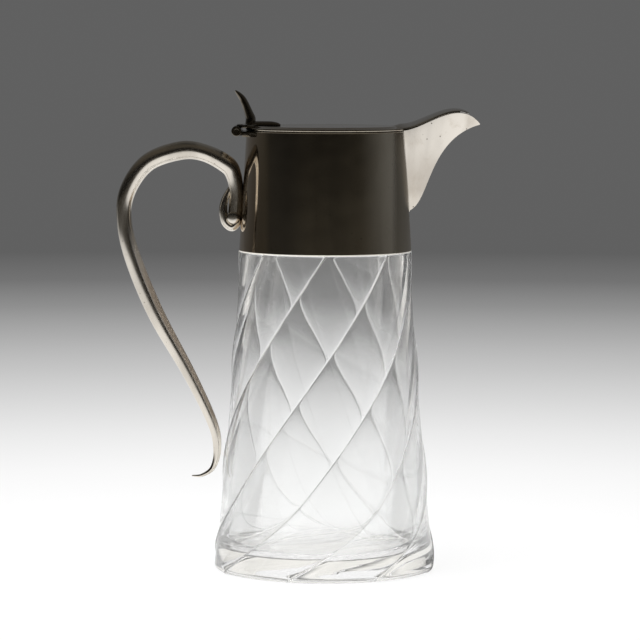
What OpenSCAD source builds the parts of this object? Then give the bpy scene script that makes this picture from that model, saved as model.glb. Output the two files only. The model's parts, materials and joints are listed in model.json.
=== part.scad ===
/* [Glass body] */
// Height of the glass body up to its shoulder, under the collar
body_h = 172.4; // [150:0.1:200]
// How far the cut ridges stand out past the collar at the shoulder
shoulder_out = 0.2; // [0:0.1:2]
// Radius over the cut ridges at the foot
foot_r = 60.5; // [56:0.1:66]
// How hollow the side runs between shoulder and foot: 1 is straight
side_hollow = 1.22; // [1:0.01:1.4]
// How far the foot flares out past the straight side
foot_flare = 0.7; // [0:0.1:2]
// Radius of the rounded lower edge of the foot
foot_edge_r = 3; // [1:0.5:5]
// Number of spiral panels cut round the body
panels = 8; // [6:1:12]
// Twist of the panels from shoulder to foot, in degrees for each millimetre
twist_rate = 0.78; // [0.4:0.01:1]
// Extra twist of the panels as they run out at the foot, in degrees
foot_twist = 20.7; // [0:0.1:30]
// Height over which the extra twist at the foot builds up
foot_twist_h = 45; // [20:1:60]
// How hollow a panel is between its ridges, as a share of the radius
panel_hollow = 0.01; // [0.004:0.001:0.04]
// Extra drop of a panel close beside its ridges, as a share of the radius
ridge_step = 0.006; // [0.002:0.001:0.01]
// How fast that drop is reached, as a share of a panel's width
ridge_run = 0.07; // [0.03:0.01:0.2]
// Glass thickness under a ridge
wall = 6; // [4:0.1:8]
// Thickness of the solid glass base
base_t = 10; // [6:0.5:20]
// Radius of the rounded corner between the inside wall and the floor
floor_corner_r = 9; // [3:0.5:14]
// Length of the round neck that stands up inside the collar
neck_h = 18; // [10:0.5:22]
// Glass thickness of the neck
neck_wall = 3.4; // [2:0.1:5]

/* [Collar and rim] */
// Height of the silver collar
collar_h = 64; // [56:0.5:76]
// Outer radius of the collar at its lower edge
collar_low_r = 46.6; // [44:0.1:48]
// Outer radius of the collar at its top
collar_top_r = 42.7; // [40:0.1:46]
// Sheet thickness of the collar
collar_t = 1; // [0.6:0.1:1.4]
// Space for cement between the glass neck and the collar
cement_gap = 0.8; // [0.4:0.1:1.5]
// Height of the cement line that shows under the collar
cement_line = 0.6; // [0.2:0.1:1.2]
// How far the cement line lies inside the collar's lower edge
cement_lip_in = 0.1; // [0:0.05:0.4]
// Height of the cement inside the collar
cement_h = 15; // [6:0.5:17]
// Height of the wire round the mouth of the collar
wire_h = 0.8; // [0.5:0.1:1.5]
// How far the mouth wire stands out past the collar
wire_out = 0.3; // [0.1:0.1:0.8]

/* [Spout] */
// How far the tip of the spout stands out past the mouth of the collar
spout_reach = 40.6; // [30:0.5:50]
// Height of the spout's tip above the rim
spout_tip_rise = 3.6; // [0:0.1:8]
// Height that the top edge of the spout is drawn up to before it dips to the tip
spout_arch = 18.4; // [8:0.1:24]
// Depth of the spout down the front of the collar
spout_depth = 43.4; // [30:0.1:50]
// Half the width of the spout where it joins the rim
spout_half_w = 9.4; // [7:0.1:13]
// How far the spout's side walls bow out: 1 is a plain V, more is fuller
spout_bow = 1.25; // [1.1:0.05:1.6]
// Sheet thickness of the spout
spout_t = 1; // [0.6:0.1:1.4]

/* [Lid] */
// Thickness of the lid plate
lid_t = 1.2; // [0.8:0.1:2]
// Gap between the closed lid and the rim
lid_gap = 0.2; // [0.1:0.05:0.5]
// How far the lid stands out past the collar
lid_overhang = 0.4; // [0:0.1:1]
// Height that the middle of the lid is raised above its flat margin
lid_raise = 0.9; // [0.3:0.1:3]
// Width of the flat margin
lid_margin = 2.8; // [2:0.1:6]
// Width of the slope from the margin up to the raised middle
lid_slope = 2.4; // [1.5:0.1:6]
// Depth of the locating ring under the lid
flange_h = 3; // [1.5:0.1:6]
// Thickness of the locating ring
flange_t = 0.8; // [0.5:0.1:1.5]
// Space between the locating ring and the mouth
flange_gap = 0.5; // [0.3:0.05:1]
// How far short of the spout's tip the lid's tongue ends
tongue_short = 5.3; // [3:0.1:12]
// How far the tongue is let in from the edge of the mouth towards the middle of the lid
tongue_root_in = 7; // [5:0.5:12]
// Crown of the tongue along its middle
tongue_crown = 2.4; // [0.5:0.1:4]
// How far the tongue stands out past the edges of the spout
tongue_overhang = 0.2; // [0:0.05:0.6]

/* [Hinge] */
// Diameter of the hinge knuckles
knuckle_d = 5.5; // [4.5:0.1:7]
// Diameter of the hinge pin
pin_d = 2; // [1.2:0.1:2.6]
// Radial clearance of the lid knuckles on the pin
pin_clearance = 0.05; // [0.02:0.01:0.1]
// Length of the hinge over its five knuckles
hinge_len = 30; // [24:0.5:36]
// Gap between neighbouring knuckles
knuckle_gap = 0.25; // [0.15:0.05:0.5]
// Distance of the hinge axis behind the edge of the lid
hinge_out = 4.6; // [4:0.1:7]
// Depth of the hinge axis below the underside of the lid
hinge_drop = 0.5; // [0:0.1:1]
// Running space round a turning knuckle
hinge_space = 0.35; // [0.3:0.05:0.6]
// Height of the bearer that carries the hinge on the collar
bearer_h = 2.9; // [2.4:0.1:8]
// Half the width of that bearer where it dies into the collar
bearer_half_w = 22; // [19:0.5:26]
// How far the top of that bearer lies below the hinge axis
bearer_top_drop = 0.1; // [0:0.1:1]
// Height of the webs that join it to the knuckles
web_h = 2.2; // [1.5:0.1:2.7]
// Thickness of the bearer on top of the lid's margin
lid_bearer_t = 1.6; // [0.8:0.1:2.4]
// How far the lid's bearer reaches in over the lid
lid_bearer_in = 7; // [4:0.5:12]
// Radius of the lid bearer's rounded front
bearer_front_r = 22; // [17:0.5:40]

/* [Thumbpiece] */
// Height of the thumbpiece above the lid
thumb_h = 20; // [14:0.5:30]
// Length of the thumbpiece's foot along the lid
thumb_foot_len = 19; // [12:0.5:24]
// Thickness of that foot
thumb_foot_t = 2.5; // [1.5:0.1:4]
// Half the width of the thumbpiece across the lid
thumb_half_w = 4.5; // [3:0.1:7]

/* [Handle] */
// How far the handle's bar stands off the jug's side at its widest
handle_reach = 63; // [50:0.5:75]
// Length of the handle from the rim down to the tail
handle_drop = 188; // [150:0.5:195]
// Diameter of the bar in the arch
handle_d = 10; // [7:0.1:12]
// Diameter of the bar against the collar
handle_root_d = 7.4; // [6:0.1:9]
// Diameter of the tail near the glass
handle_tail_d = 4.4; // [3:0.1:5]
// Space between the tail and the glass
handle_tail_gap = 1.6; // [1:0.1:5]
// How deep the bar is let into the collar's curve
handle_seat = 0.3; // [0.1:0.05:0.6]
// Height of the scroll at the bar's lower end
scroll_h = 22.6; // [16:0.1:28]
// How far the scroll's middle line stands out from the collar
scroll_out = 9.9; // [8:0.1:13]
// Thickness of the scroll as seen from the side
scroll_t = 4.8; // [3:0.1:5.5]
// Width of the scroll across the jug
scroll_w = 7.6; // [5:0.1:10]

/* [Hidden] */
$fn = 96;

// Colours of the two materials and the cement
silver = [0.74, 0.71, 0.66];
glass = [0.86, 0.93, 0.93, 0.45];
plaster = [0.88, 0.85, 0.78];

// Heights of the stack, from the foot up
collar_z = body_h + cement_line;
collar_top = collar_z + collar_h;
rim_top = collar_top + wire_h;
lid_z = rim_top + lid_gap;
lid_top = lid_z + lid_t;
lid_r = collar_top_r + lid_overhang;
shoulder_r = collar_low_r + shoulder_out;
mouth_r = collar_top_r - collar_t;
over = 5;

// Hinge axis, which runs along Y
hinge_x = -(lid_r + hinge_out);
hinge_z = lid_z - hinge_drop;
knuckle_r = knuckle_d / 2;
pin_r = pin_d / 2;
knuckles = 5;
knuckle_pitch = hinge_len / knuckles;

// Outer radius of the collar at a height
function collar_r(z) = collar_low_r + (collar_top_r - collar_low_r) * (z - collar_z) / collar_h;

// Outer radius of the glass neck at a height: the collar's inside less the cement
function neck_r(z) = collar_r(z) - collar_t - cement_gap;

// Radius over the ridges of the glass: a taper with a flare that dies away above the foot
flare_h = 9;
function taper_r(z) = shoulder_r
    + (foot_r - shoulder_r) * pow(max(0, body_h - z) / body_h, side_hollow);
function ridge_r(z) = taper_r(z) + foot_flare * exp(-pow(z / flare_h, 2));

// Side of the jug at a height, which the handle follows
function side_r(z) = z >= collar_z ? collar_r(z) : taper_r(z);

// Angle that a ridge has turned by at a height, counted from the shoulder
function ridge_turn(z) = twist_rate * (body_h - z)
    + foot_twist * pow(max(0, foot_twist_h - z) / foot_twist_h, 2);

// A solid between closed outlines that all have the same number of points
module loft(rings) {
    n = len(rings[0]);
    last = (len(rings) - 1) * n;
    polyhedron(
        points = [for (ring = rings) each ring],
        faces = concat(
            [[for (i = [0:n - 1]) i]],
            [[for (i = [n - 1:-1:0]) last + i]],
            [for (j = [0:len(rings) - 2], i = [0:n - 1])
                let (a = j * n + i, b = j * n + (i + 1) % n)
                each [[a, b + n, b], [a, a + n, b + n]]]));
}

// A smooth curve through stations, as Catmull-Rom pieces of a number of steps each
function smooth(p, q, r, s, t) = 0.5 * (2 * q + (r - p) * t + (2 * p - 5 * q + 4 * r - s) * t * t
    + (3 * q - p - 3 * r + s) * t * t * t);
function through(stations, steps) = [
    for (i = [0:len(stations) - 2], k = [0:steps - 1])
        smooth(stations[max(i - 1, 0)], stations[i], stations[i + 1],
            stations[min(i + 2, len(stations) - 1)], k / steps),
    stations[len(stations) - 1]];

// Direction across a path in the plane of the handle, at one of its points
function across(path, i) =
    let (way = path[min(i + 1, len(path) - 1)] - path[max(i - 1, 0)])
    [-way[1], way[0]] / norm([way[0], way[1]]);

// A bar in the plane of the handle. Each station is [x, z, half thickness, half width].
bar_sides = 14;
module bar(stations, steps) {
    path = through(stations, steps);
    loft([for (i = [0:len(path) - 1])
        let (here = path[i], side = across(path, i))
        [for (k = [0:bar_sides - 1])
            let (a = 360 * k / bar_sides, u = here[2] * cos(a), v = -here[3] * sin(a))
            [here[0] + u * side[0], v, here[1] + u * side[1]]]]);
}

// Everything inside the collar's outer surface, run on above and below it
module collar_core() {
    low = collar_z - 2 * over;
    high = rim_top + 2 * over;
    rotate_extrude()
        polygon([[0, low], [collar_r(low), low], [collar_r(high), high], [0, high]]);
}

// Glass body: spiral panels outside, a plain round inside, and a neck that the collar fits over
panel_steps = 6;
body_rings = 34;
edge_rings = 4;
function glass_ring(z, inset) = [
    for (i = [0:panels * panel_steps - 1])
        let (
            part = (i % panel_steps) / panel_steps,
            drop = panel_hollow * 4 * part * (1 - part)
                + ridge_step * (1 - exp(-min(part, 1 - part) / ridge_run)),
            angle = 360 * i / (panels * panel_steps) - ridge_turn(z),
            r = (ridge_r(z) - inset) * (1 - drop))
        [r * sin(angle), -r * cos(angle), z]];
module glass_body() {
    neck_top = body_h + neck_h;
    neck_foot = body_h - over;
    corner_z = base_t + floor_corner_r;
    corner_r = taper_r(corner_z) - wall;
    color(glass)
    difference() {
        union() {
            loft(concat(
                [for (k = [0:edge_rings - 1]) let (a = 90 * k / edge_rings)
                    glass_ring(foot_edge_r * (1 - cos(a)), foot_edge_r * (1 - sin(a)))],
                [for (k = [0:body_rings])
                    glass_ring(foot_edge_r + (body_h - foot_edge_r) * k / body_rings, 0)]));
            rotate_extrude()
                polygon([[0, neck_foot], [neck_r(neck_foot), neck_foot],
                    [neck_r(neck_top), neck_top], [0, neck_top]]);
        }
        rotate_extrude() {
            polygon([[0, base_t], [corner_r - floor_corner_r, base_t], [corner_r, corner_z],
                [taper_r(body_h) - wall, body_h], [neck_r(neck_top) - neck_wall, neck_top],
                [neck_r(neck_top) - neck_wall, neck_top + over], [0, neck_top + over]]);
            translate([corner_r - floor_corner_r, corner_z]) circle(r = floor_corner_r);
        }
    }
}

// Cement: a sleeve between neck and collar, with a lip that shows as a thin line
module cement_ring() {
    top = collar_z + cement_h;
    lip_r = collar_low_r - cement_lip_in;
    color(plaster)
    rotate_extrude()
        polygon([[neck_r(body_h), body_h], [lip_r, body_h], [lip_r, collar_z],
            [collar_low_r - collar_t, collar_z], [collar_r(top) - collar_t, top],
            [neck_r(top), top]]);
}

// Top edge and keel of the spout, as points in the plane y = 0 that run from the collar to the tip
spout_root_x = sqrt(pow(collar_top_r, 2) - pow(spout_half_w, 2));
spout_tip_x = collar_top_r + spout_reach;
spout_run = spout_tip_x - spout_root_x;
spout_foot_z = rim_top - spout_depth;
tip_t = 0.4;
tip_half_w = 0.5;
function bezier(p, u) = pow(1 - u, 3) * p[0] + 3 * pow(1 - u, 2) * u * p[1]
    + 3 * (1 - u) * u * u * p[2] + pow(u, 3) * p[3];
lip_points = [
    [spout_root_x, rim_top],
    [spout_root_x + 0.3 * spout_run, rim_top + 0.05 * spout_arch],
    [spout_root_x + 0.72 * spout_run, rim_top + spout_arch],
    [spout_tip_x, rim_top + spout_tip_rise]];
keel_points = [
    [collar_r(spout_foot_z), spout_foot_z],
    [collar_r(spout_foot_z) + 0.28 * spout_run, spout_foot_z + 0.11 * spout_depth],
    [spout_tip_x - 0.68 * spout_run, rim_top + spout_tip_rise - 0.19 * spout_depth],
    [spout_tip_x, rim_top + spout_tip_rise - tip_t]];
function spout_w(u) = spout_half_w * pow(1 - pow(max(u, 0), 1.8), 0.75) + tip_half_w * max(u, 0);

// The beak's outline at a share u of the way to the tip. Below 0 it runs straight back into the
// collar. inset draws the sides and the keel in, and lift raises the top.
beak_steps = 6;
function beak_point(p, u, back) = u < 0 ? p[0] + [u * back, 0] : bezier(p, u);
function keel_inward(u) =
    let (w = bezier(keel_points, min(u + 0.02, 1)) - bezier(keel_points, max(u - 0.02, 0)))
    [-w[1], w[0]] / norm(w);
function beak_ring(u, inset, lift) =
    let (
        back = 2 * over,
        lip = beak_point(lip_points, u, back),
        keel = beak_point(keel_points, u, back) + keel_inward(max(u, 0)) * inset * 2,
        half = spout_w(u) - inset,
        side = [for (k = [0:beak_steps])
            let (down = 1 - pow(k / beak_steps, 1.3), at = lip + (keel - lip) * down)
            [at[0], half * pow(1 - pow(down, spout_bow), 0.9), at[1]]])
    concat(
        [for (k = [beak_steps:-1:1]) [side[k][0], -side[k][1], side[k][2]]],
        side,
        lift == 0 ? [] : [[lip[0], half, lip[1] + lift], [lip[0], -half, lip[1] + lift]]);

// Rings along the beak, and the share of its length at which its hollow ends
spout_rings = 20;
hollow_end = 0.93;
module beak() {
    loft([for (k = [-1:spout_rings]) beak_ring(k < 0 ? -1 : k / spout_rings, 0, 0)]);
}
module beak_inside() {
    loft([for (k = [-1:spout_rings])
        beak_ring(k < 0 ? -1 : hollow_end * k / spout_rings, spout_t, spout_arch)]);
}

// Collar: a tapered sleeve, open behind the spout
module collar() {
    color(silver)
    difference() {
        rotate_extrude()
            polygon([[collar_low_r - collar_t, collar_z], [collar_low_r, collar_z],
                [collar_top_r, collar_top], [mouth_r, collar_top]]);
        beak_inside();
    }
}

// Half-round wire that stiffens the mouth, and stops each side of the spout
module mouth_ring() {
    bead_r = wire_h / 2;
    bead_x = collar_top_r + wire_out - bead_r;
    rotate_extrude() {
        translate([mouth_r, collar_top]) square([bead_x - mouth_r, wire_h]);
        translate([bead_x, collar_top + bead_r]) circle(r = bead_r);
    }
}
module rim_wire() {
    color(silver)
    difference() {
        mouth_ring();
        translate([spout_root_x - over, -spout_half_w, collar_top - over])
            cube([3 * over, 2 * spout_half_w, 2 * over]);
    }
}

// Spout: a sheet beak whose root follows the collar
module spout() {
    color(silver)
    difference() {
        beak();
        beak_inside();
        collar_core();
    }
}

// Handle: the first stations lie against the collar, the rest follow the jug's side.
// They are given as [share of the collar's height, diameter] and
// [share of the drop, share of the reach, diameter].
seat_off = handle_root_d / 2 - handle_seat;
seat_stations = [
    for (s = [[0.785, 0.5, 0], [0.77, 0.85, 0], [0.73, 1, 0], [0.52, 1.03, 0], [0.37, 1.17, 2]])
        let (z = collar_top - s[0] * collar_h, r = s[1] * handle_root_d / 2)
        [-(side_r(z) + seat_off + s[2]), z, r, r]];
free_stations = [
    for (s = [[0.098, 0.155, 0.99], [0.066, 0.35, 0.94], [0.06, 0.557, 1.01], [0.095, 0.83, 0.96],
            [0.174, 0.985, 0.9], [0.26, 1, 0.82], [0.37, 0.905, 0.9], [0.53, 0.68, 0.9],
            [0.706, 0.352, 0.7], [0.845, 0.122, 0.56]])
        let (z = rim_top - s[0] * handle_drop, r = s[2] * handle_d / 2)
        [-(side_r(z) + s[1] * handle_reach), z, r, r]];
tail_off = handle_tail_d / 2 + handle_tail_gap;
tail_stations = [
    for (s = [[0.92, 0, 1], [0.975, 1.4, 0.64], [0.998, 6.8, 0.4], [1, 12, 0.2]])
        let (z = rim_top - s[0] * handle_drop, r = s[2] * handle_tail_d / 2)
        [-(side_r(z) + tail_off + s[1]), z, r, r]];
module handle() {
    color(silver)
    difference() {
        bar(concat(seat_stations, free_stations, tail_stations), 4);
        collar_core();
    }
}

// Scroll at the lower end of the bar, which curls out and up against it
module handle_scroll() {
    low = collar_top - 0.806 * collar_h;
    color(silver)
    difference() {
        bar([for (s = [[0.34, 0.22, 0.9, 0.8], [0.13, 0.22, 1.05, 0.95], [0, 0.46, 1, 1],
                [0.1, 0.8, 1, 1], [0.3, 0.96, 1, 0.95], [0.48, 1, 0.95, 0.85],
                [0.67, 0.93, 0.8, 0.7], [0.85, 0.79, 0.55, 0.5], [1, 0.68, 0.2, 0.2]])
            let (z = low + s[0] * scroll_h)
            [-(side_r(z) + s[1] * scroll_out), z, s[2] * scroll_t / 2, s[3] * scroll_w / 2]], 4);
        collar_core();
    }
}

// Where a knuckle starts along Y. They are numbered from the front, 0 to 4.
function knuckle_y(i) = -hinge_len / 2 + i * knuckle_pitch + knuckle_gap / 2;
module knuckle_bar(i, r, grow = 0) {
    translate([hinge_x, knuckle_y(i) - grow, hinge_z])
        rotate([-90, 0, 0]) cylinder(r = r, h = knuckle_pitch - knuckle_gap + 2 * grow);
}
module knuckle(i, bore_r) {
    color(silver)
    difference() {
        knuckle_bar(i, knuckle_r);
        knuckle_bar(i, bore_r, over);
    }
}
collar_knuckles = [0, 2, 4];
lid_knuckles = [1, 3];
module collar_knuckle_front() { knuckle(0, pin_r); }
module collar_knuckle_centre() { knuckle(2, pin_r); }
module collar_knuckle_rear() { knuckle(4, pin_r); }
module lid_knuckle_front() { knuckle(1, pin_r + pin_clearance); }
module lid_knuckle_rear() { knuckle(3, pin_r + pin_clearance); }

// Pin through all five knuckles, flush with their ends
module hinge_pin() {
    color(silver)
    translate([hinge_x, knuckle_y(0), hinge_z])
        rotate([-90, 0, 0]) cylinder(r = pin_r, h = hinge_len - knuckle_gap);
}

// A plate with a web out to each of its own knuckles, cut clear of the other side's knuckles
plate_back = hinge_x + knuckle_r + hinge_space;
web_root = 1;
module web(i, z, h) {
    translate([hinge_x, knuckle_y(i), z])
        cube([plate_back + web_root - hinge_x, knuckle_pitch - knuckle_gap, h]);
}

// Bearer on the collar: straight along the hinge, dying into the curve of the collar at its ends
module hinge_bearer() {
    top = hinge_z - bearer_top_drop;
    end_x = -sqrt(pow(collar_top_r, 2) - pow(bearer_half_w, 2));
    color(silver)
    difference() {
        union() {
            translate([0, 0, top - bearer_h])
                linear_extrude(bearer_h)
                    polygon([[plate_back, -hinge_len / 2], [plate_back, hinge_len / 2],
                        [end_x, bearer_half_w], [end_x + over, bearer_half_w - over],
                        [end_x + over, over - bearer_half_w], [end_x, -bearer_half_w]]);
            for (i = collar_knuckles) web(i, top - web_h, web_h);
        }
        collar_core();
        mouth_ring();
        for (i = collar_knuckles) knuckle_bar(i, knuckle_r);
    }
}

// Bearer on the lid: a straight back along the hinge and a round front on the lid
module lid_bearer_plate() {
    translate([0, 0, lid_top])
        linear_extrude(lid_bearer_t)
            intersection() {
                translate([plate_back, -hinge_len / 2])
                    square([lid_bearer_in + over, hinge_len]);
                translate([lid_bearer_in - lid_r - bearer_front_r, 0])
                    circle(r = bearer_front_r);
            }
}
module lid_bearer() {
    color(silver)
    difference() {
        union() {
            lid_bearer_plate();
            for (i = lid_knuckles) web(i, lid_top, lid_bearer_t);
        }
        lid_solid();
        for (i = lid_knuckles) knuckle_bar(i, knuckle_r);
    }
}

// How far the lid is raised at a radius: a cosine slope joins the flat margin to the flat middle
function lid_rise(r) =
    lid_raise * (1 - cos(180 * max(0, min(1, (lid_r - lid_margin - r) / lid_slope)))) / 2;
lid_steps = 8;
lid_radii = [for (k = [0:lid_steps]) lid_r - lid_margin - lid_slope * k / lid_steps];

// Lid: a thin disc with softened edges, cut out at the front for the tongue
edge_soft = 0.3;
module lid_section(under) {
    polygon(concat(
        [[lid_r - edge_soft, 0], [lid_r, edge_soft], [lid_r, lid_t - edge_soft],
            [lid_r - edge_soft, lid_t]],
        [for (r = lid_radii) [r, lid_t + lid_rise(r)]],
        [[0, lid_t + lid_raise]],
        under
            ? concat([[0, lid_raise]],
                [for (k = [lid_steps:-1:0]) [lid_radii[k], lid_rise(lid_radii[k])]])
            : [[0, 0]]));
}
// The space that the lid takes up, with its hollow filled, which cuts what sits on top of it
module lid_solid() {
    translate([0, 0, lid_z]) rotate_extrude() lid_section(false);
}
tongue_root_x = spout_root_x - tongue_root_in;
tongue_half_w = spout_half_w + tongue_overhang;
module lid_plate() {
    color(silver)
    difference() {
        translate([0, 0, lid_z]) rotate_extrude() lid_section(true);
        translate([tongue_root_x, -tongue_half_w, lid_z - over])
            cube([2 * over + tongue_root_in, 2 * tongue_half_w, 3 * over]);
    }
}

// Tongue: an arched sheet, let into the lid, that roofs the spout nearly out to its tip
tongue_end = 1 - tongue_short / (3 * (spout_tip_x - lip_points[2][0]));
tongue_rings = 20;
arch_steps = 6;
last_share = 0.995;
function tongue_ring(x, z, half, crown) =
    let (
        bottom = z + lid_gap,
        soft = min(edge_soft, half / 2),
        arch = [for (k = [-arch_steps:arch_steps])
            let (v = k / arch_steps) [(half - soft) * v, crown * (1 - v * v)]])
    concat(
        [for (p = arch) [x, p[0], bottom + p[1]]],
        [[x, half, bottom + soft], [x, half, bottom + lid_t - soft]],
        [for (k = [2 * arch_steps:-1:0]) [x, arch[k][0], bottom + lid_t + arch[k][1]]],
        [[x, -half, bottom + lid_t - soft], [x, -half, bottom + soft]]);
module lid_tongue() {
    root_crown = lid_rise(tongue_root_x);
    color(silver)
    loft(concat(
        [tongue_ring(tongue_root_x, rim_top, tongue_half_w, root_crown)],
        [tongue_ring((tongue_root_x + spout_root_x) / 2, rim_top, tongue_half_w,
            (root_crown + tongue_crown) / 2)],
        [for (k = [0:tongue_rings])
            let (
                share = last_share * k / tongue_rings,
                at = bezier(lip_points, share * tongue_end),
                half = (spout_w(share * tongue_end) + tongue_overhang) * sqrt(1 - pow(share, 8)))
            tongue_ring(at[0], at[1], half, tongue_crown * (1 - pow(share, 3)))]));
}

// Locating ring under the lid, which drops into the mouth
module lid_flange() {
    flange_r = mouth_r - flange_gap;
    color(silver)
    translate([0, 0, lid_z - flange_h])
        rotate_extrude()
            translate([flange_r - flange_t, 0]) square([flange_t, flange_h]);
}

// Thumbpiece: a claw that stands on the lid's bearer, with a long foot forward along the lid.
// Claw stations are [distance in from the lid's edge, share of the claw's height, half thickness,
// share of the half width]. Foot stations are [share of its length, of its thickness, of the width].
claw_steps = 3;
module thumbpiece() {
    claw_z = lid_top + lid_bearer_t;
    foot_z = lid_top + lid_raise;
    claw = through([for (s = [[2.4, 0, 2.7, 1], [2.55, 0.07, 2.7, 1], [2.7, 0.168, 2.75, 0.95],
            [1.75, 0.32, 2.4, 0.85], [0.65, 0.478, 2.15, 0.75], [-0.55, 0.625, 2, 0.65],
            [-1.8, 0.755, 1.75, 0.55], [-3.8, 0.886, 1.25, 0.42], [-5.6, 0.984, 0.5, 0.3]])
        [s[0] - lid_r, claw_z + s[1] * (thumb_h - lid_bearer_t), s[2], s[3] * thumb_half_w]],
        claw_steps);
    foot = through([for (s = [[0.08, 1, 1], [0.3, 1, 0.95], [0.55, 1, 0.85], [0.75, 0.94, 0.7],
            [0.9, 0.7, 0.5], [0.99, 0.35, 0.3]])
        [s[0] * thumb_foot_len - lid_r, foot_z + s[1] * thumb_foot_t, s[2] * thumb_half_w]],
        claw_steps);
    tip = len(claw) - 1;
    toe = len(foot) - 1;
    color(silver)
    difference() {
        intersection() {
            // Seen from the side
            rotate([90, 0, 0]) translate([0, 0, -over])
                linear_extrude(2 * over) {
                    polygon(concat(
                        [for (i = [0:tip]) [claw[i][0], claw[i][1]] + claw[i][2] * across(claw, i)],
                        [for (i = [tip:-1:0]) [claw[i][0], claw[i][1]] - claw[i][2] * across(claw, i)]));
                    polygon(concat([[foot[0][0], foot_z]],
                        [for (p = foot) [p[0], p[1]]], [[foot[toe][0], foot_z]]));
                }
            // Seen from the back
            rotate([90, 0, 90]) translate([0, 0, -2 * lid_r])
                linear_extrude(2 * lid_r)
                    polygon(concat([[claw[0][3], lid_z]], [for (p = claw) [p[3], p[1]]],
                        [[0, claw[tip][1] + over]],
                        [for (i = [tip:-1:0]) [-claw[i][3], claw[i][1]]], [[-claw[0][3], lid_z]]));
            // Seen from above
            translate([0, 0, lid_z]) linear_extrude(thumb_h + 2 * over)
                polygon(concat([[-2 * lid_r, thumb_half_w]], [for (p = foot) [p[0], p[2]]],
                    [for (i = [toe:-1:0]) [foot[i][0], -foot[i][2]]],
                    [[-2 * lid_r, -thumb_half_w]]));
        }
        lid_bearer_plate();
    }
}

glass_body();
cement_ring();
collar();
rim_wire();
spout();
handle();
handle_scroll();
hinge_bearer();
collar_knuckle_front();
collar_knuckle_centre();
collar_knuckle_rear();
hinge_pin();
lid_knuckle_front();
lid_knuckle_rear();
lid_bearer();
lid_plate();
lid_tongue();
lid_flange();
thumbpiece();
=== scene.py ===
"""Claret jug: a glass body cut in spiral panels, with silver-plated mounts and a hinged lid.

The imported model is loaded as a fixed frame. Each operator below makes one piece, or one group of
like pieces, as a surface worked out with numpy, and gives it its finish.
"""

import json
import math
from types import SimpleNamespace

import bpy
import numpy as np
from mathutils import Matrix, Vector


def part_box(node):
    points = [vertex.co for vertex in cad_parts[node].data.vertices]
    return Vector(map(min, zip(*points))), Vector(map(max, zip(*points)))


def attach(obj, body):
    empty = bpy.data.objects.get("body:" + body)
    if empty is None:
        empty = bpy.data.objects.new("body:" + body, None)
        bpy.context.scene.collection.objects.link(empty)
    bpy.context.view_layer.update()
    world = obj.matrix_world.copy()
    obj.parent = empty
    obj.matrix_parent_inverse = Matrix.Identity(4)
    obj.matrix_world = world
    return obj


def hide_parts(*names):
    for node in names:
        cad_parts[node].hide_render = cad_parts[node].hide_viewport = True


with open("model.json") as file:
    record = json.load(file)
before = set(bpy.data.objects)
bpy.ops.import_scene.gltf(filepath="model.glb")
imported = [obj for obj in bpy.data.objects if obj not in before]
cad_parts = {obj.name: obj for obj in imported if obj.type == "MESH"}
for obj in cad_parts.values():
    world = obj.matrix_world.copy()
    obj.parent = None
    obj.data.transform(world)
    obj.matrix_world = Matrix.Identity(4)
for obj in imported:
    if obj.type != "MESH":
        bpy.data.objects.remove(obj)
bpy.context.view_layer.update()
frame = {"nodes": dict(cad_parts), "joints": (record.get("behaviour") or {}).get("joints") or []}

bl_info = {
    "name": "Claret jug",
    "version": (1, 0, 0),
    "blender": (4, 5, 0),
    "location": "View3D > Sidebar > Jug",
    "description": "Glass claret jug with silver-plated mounts, its finishes and a plain stage",
    "category": "Add Mesh",
}

MM = 0.001
PLAIN_NUMBERS = ("panels", "side_hollow", "panel_hollow", "ridge_step", "ridge_run", "ridge_soft",
                 "spout_bow")
# How far a rounded corner's curve and its holding points reach: in radii, and at most as a share
# of the side
CURVE_REACH = (1.0, 0.40)
HOLD_REACH = (1.5, 0.46)
RIM_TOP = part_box("rim_wire")[1][2]
LID_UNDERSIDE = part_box("lid_plate")[0][2]
HINGE = next(j for j in frame["joints"] if j["name"] == "lid_hinge")["pos_m"]


def length(name, text, default):
    """A length setting, given in metres."""
    return bpy.props.FloatProperty(
        name=name, description=text, default=default, unit="LENGTH", precision=5)


def number(name, text, default):
    """A plain number setting."""
    return bpy.props.FloatProperty(name=name, description=text, default=default, precision=4)


def turn(name, text, degrees):
    """An angle setting, given in degrees."""
    return bpy.props.FloatProperty(
        name=name, description=text, default=math.radians(degrees), subtype="ANGLE")


def power(name, text, watts):
    """A lamp's power, given in watts."""
    return bpy.props.FloatProperty(name=name, description=text, default=watts, unit="POWER")


def colour(name, text, rgb):
    """A colour setting, in linear light."""
    return bpy.props.FloatVectorProperty(
        name=name, description=text, default=rgb, size=3, subtype="COLOR", min=0.0, max=1.0)


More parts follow.
